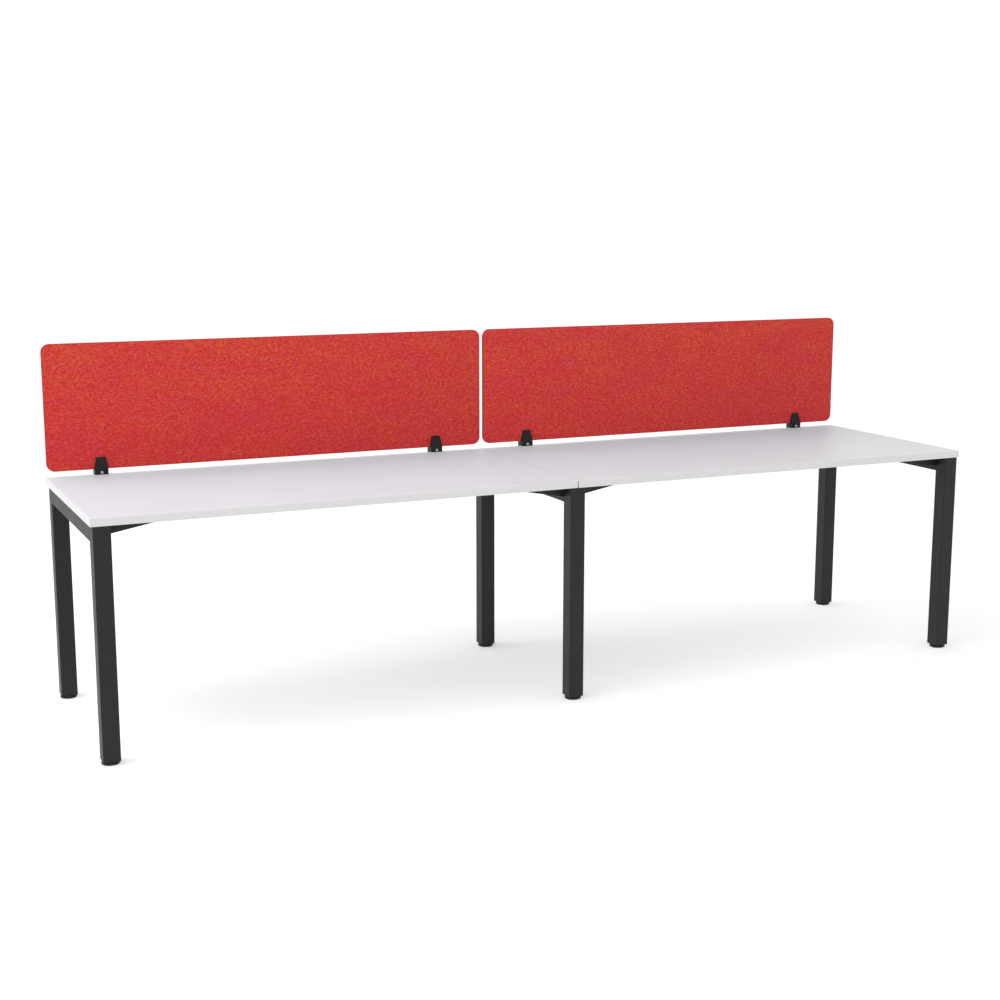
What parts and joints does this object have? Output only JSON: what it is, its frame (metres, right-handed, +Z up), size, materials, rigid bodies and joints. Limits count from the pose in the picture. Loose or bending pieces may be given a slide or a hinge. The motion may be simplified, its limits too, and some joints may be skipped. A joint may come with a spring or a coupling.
{
  "type": "two-person workstation desk",
  "caption": "Long workstation desk with white rectangular tops side by side on black square-tube legs, and red felt screens clamped along the rear edge.",
  "frame": {"origin": "on the floor, under the centre of the overall box, between the two centre legs", "axes": "+X along the run of tops to the user's right, +Y from the users to the screens, +Z up"},
  "size_m": [3.204, 0.8192, 1.2065],
  "materials": {
    "top_board": "white melamine facing, matt, on particle board",
    "edge_band": "white edge band, fine grain",
    "frame_black": "black powder coat, matt",
    "bracket_black": "black powder coat, satin",
    "zinc_steel": "bright zinc",
    "foot_plastic": "black moulded plastic",
    "red_felt": "pressed red felt board, flecked"
  },
  "bodies": {
    "frame": {"desktop_left": "top_board", "edge_band_left": "edge_band", "desktop_right": "top_board", "edge_band_right": "edge_band", "leg_left_front": "frame_black", "leg_left_rear": "frame_black", "leg_centre_front": "frame_black", "leg_centre_rear": "frame_black", "leg_right_front": "frame_black", "leg_right_rear": "frame_black", "leg_inserts": "foot_plastic", "top_rail_left": "frame_black", "top_rail_centre": "frame_black", "top_rail_right": "frame_black", "beam_left_front": "frame_black", "beam_left_rear": "frame_black", "beam_right_front": "frame_black", "beam_right_rear": "frame_black", "beam_end_plates": "frame_black", "beam_bolts": "zinc_steel", "desktop_bracket_left_outer_front": "bracket_black", "desktop_bracket_left_outer_rear": "bracket_black", "desktop_bracket_left_inner_front": "bracket_black", "desktop_bracket_left_inner_rear": "bracket_black", "desktop_bracket_right_outer_front": "bracket_black", "desktop_bracket_right_outer_rear": "bracket_black", "desktop_bracket_right_inner_front": "bracket_black", "desktop_bracket_right_inner_rear": "bracket_black", "bracket_bolts": "zinc_steel", "bracket_wood_screws": "zinc_steel", "rivet_nuts": "zinc_steel", "screen_bracket_left_inner": "bracket_black", "screen_bracket_left_outer": "bracket_black", "screen_bracket_right_inner": "bracket_black", "screen_bracket_right_outer": "bracket_black", "screen_bracket_screws": "zinc_steel"},
    "foot_left_front": {"foot_pad_left_front": "foot_plastic"},
    "stud_left_front": {"foot_stud_left_front": "zinc_steel"},
    "foot_left_rear": {"foot_pad_left_rear": "foot_plastic"},
    "stud_left_rear": {"foot_stud_left_rear": "zinc_steel"},
    "foot_centre_front": {"foot_pad_centre_front": "foot_plastic"},
    "stud_centre_front": {"foot_stud_centre_front": "zinc_steel"},
    "foot_centre_rear": {"foot_pad_centre_rear": "foot_plastic"},
    "stud_centre_rear": {"foot_stud_centre_rear": "zinc_steel"},
    "foot_right_front": {"foot_pad_right_front": "foot_plastic"},
    "stud_right_front": {"foot_stud_right_front": "zinc_steel"},
    "foot_right_rear": {"foot_pad_right_rear": "foot_plastic"},
    "stud_right_rear": {"foot_stud_right_rear": "zinc_steel"},
    "clamp_left_inner": {"clamp_plate_left_inner": "bracket_black"},
    "screw_left_inner": {"clamp_screw_left_inner": "zinc_steel"},
    "clamp_left_outer": {"clamp_plate_left_outer": "bracket_black"},
    "screw_left_outer": {"clamp_screw_left_outer": "zinc_steel"},
    "felt_screen_left": {"screen_left": "red_felt"},
    "clamp_right_inner": {"clamp_plate_right_inner": "bracket_black"},
    "screw_right_inner": {"clamp_screw_right_inner": "zinc_steel"},
    "clamp_right_outer": {"clamp_plate_right_outer": "bracket_black"},
    "screw_right_outer": {"clamp_screw_right_outer": "zinc_steel"},
    "felt_screen_right": {"screen_right": "red_felt"}
  },
  "joints": [
    {"name": "foot_lift_left_front", "type": "slide", "parent": "frame", "child": "foot_left_front", "axis": [0, 0, -1], "range_m": [0, 0.015]},
    {"name": "stud_turn_left_front", "type": "hinge", "parent": "foot_left_front", "child": "stud_left_front", "pos_m": [-1.568, -0.38165, 0.008], "axis": [0, 0, -1], "range_deg": [0, 3601]},
    {"name": "foot_lift_left_rear", "type": "slide", "parent": "frame", "child": "foot_left_rear", "axis": [0, 0, -1], "range_m": [0, 0.015]},
    {"name": "stud_turn_left_rear", "type": "hinge", "parent": "foot_left_rear", "child": "stud_left_rear", "pos_m": [-1.568, 0.35035, 0.008], "axis": [0, 0, -1], "range_deg": [0, 3601]},
    {"name": "foot_lift_centre_front", "type": "slide", "parent": "frame", "child": "foot_centre_front", "axis": [0, 0, -1], "range_m": [0, 0.015]},
    {"name": "stud_turn_centre_front", "type": "hinge", "parent": "foot_centre_front", "child": "stud_centre_front", "pos_m": [0, -0.38165, 0.008], "axis": [0, 0, -1], "range_deg": [0, 3601]},
    {"name": "foot_lift_centre_rear", "type": "slide", "parent": "frame", "child": "foot_centre_rear", "axis": [0, 0, -1], "range_m": [0, 0.015]},
    {"name": "stud_turn_centre_rear", "type": "hinge", "parent": "foot_centre_rear", "child": "stud_centre_rear", "pos_m": [0, 0.35035, 0.008], "axis": [0, 0, -1], "range_deg": [0, 3601]},
    {"name": "foot_lift_right_front", "type": "slide", "parent": "frame", "child": "foot_right_front", "axis": [0, 0, -1], "range_m": [0, 0.015]},
    {"name": "stud_turn_right_front", "type": "hinge", "parent": "foot_right_front", "child": "stud_right_front", "pos_m": [1.568, -0.38165, 0.008], "axis": [0, 0, -1], "range_deg": [0, 3601]},
    {"name": "foot_lift_right_rear", "type": "slide", "parent": "frame", "child": "foot_right_rear", "axis": [0, 0, -1], "range_m": [0, 0.015]},
    {"name": "stud_turn_right_rear", "type": "hinge", "parent": "foot_right_rear", "child": "stud_right_rear", "pos_m": [1.568, 0.35035, 0.008], "axis": [0, 0, -1], "range_deg": [0, 3601]},
    {"name": "clamp_open_left_inner", "type": "slide", "parent": "frame", "child": "clamp_left_inner", "axis": [0, -1, 0], "range_m": [0, 0.004]},
    {"name": "clamp_screw_turn_left_inner", "type": "hinge", "parent": "clamp_left_inner", "child": "screw_left_inner", "pos_m": [-0.187, 0.37205, 0.7663], "axis": [0, -1, 0], "range_deg": [0, 1441]},
    {"name": "clamp_open_left_outer", "type": "slide", "parent": "frame", "child": "clamp_left_outer", "axis": [0, -1, 0], "range_m": [0, 0.004]},
    {"name": "clamp_screw_turn_left_outer", "type": "hinge", "parent": "clamp_left_outer", "child": "screw_left_outer", "pos_m": [-1.417, 0.37205, 0.7663], "axis": [0, -1, 0], "range_deg": [0, 1441]},
    {"name": "screen_lift_left", "type": "slide", "parent": "frame", "child": "felt_screen_left", "axis": [0, 0, 1], "range_m": [0, 0.045]},
    {"name": "clamp_open_right_inner", "type": "slide", "parent": "frame", "child": "clamp_right_inner", "axis": [0, -1, 0], "range_m": [0, 0.004]},
    {"name": "clamp_screw_turn_right_inner", "type": "hinge", "parent": "clamp_right_inner", "child": "screw_right_inner", "pos_m": [0.187, 0.37205, 0.7663], "axis": [0, -1, 0], "range_deg": [0, 1441]},
    {"name": "clamp_open_right_outer", "type": "slide", "parent": "frame", "child": "clamp_right_outer", "axis": [0, -1, 0], "range_m": [0, 0.004]},
    {"name": "clamp_screw_turn_right_outer", "type": "hinge", "parent": "clamp_right_outer", "child": "screw_right_outer", "pos_m": [1.417, 0.37205, 0.7663], "axis": [0, -1, 0], "range_deg": [0, 1441]},
    {"name": "screen_lift_right", "type": "slide", "parent": "frame", "child": "felt_screen_right", "axis": [0, 0, 1], "range_m": [0, 0.045]}
  ],
  "couplings": [
    {"joint": "stud_turn_left_front", "follows": "foot_lift_left_front", "rad_per_m": 4188.8},
    {"joint": "stud_turn_left_rear", "follows": "foot_lift_left_rear", "rad_per_m": 4188.8},
    {"joint": "stud_turn_centre_front", "follows": "foot_lift_centre_front", "rad_per_m": 4188.8},
    {"joint": "stud_turn_centre_rear", "follows": "foot_lift_centre_rear", "rad_per_m": 4188.8},
    {"joint": "stud_turn_right_front", "follows": "foot_lift_right_front", "rad_per_m": 4188.8},
    {"joint": "stud_turn_right_rear", "follows": "foot_lift_right_rear", "rad_per_m": 4188.8},
    {"joint": "clamp_screw_turn_left_inner", "follows": "clamp_open_left_inner", "rad_per_m": 6283.2},
    {"joint": "clamp_screw_turn_left_outer", "follows": "clamp_open_left_outer", "rad_per_m": 6283.2},
    {"joint": "clamp_screw_turn_right_inner", "follows": "clamp_open_right_inner", "rad_per_m": 6283.2},
    {"joint": "clamp_screw_turn_right_outer", "follows": "clamp_open_right_outer", "rad_per_m": 6283.2}
  ]
}
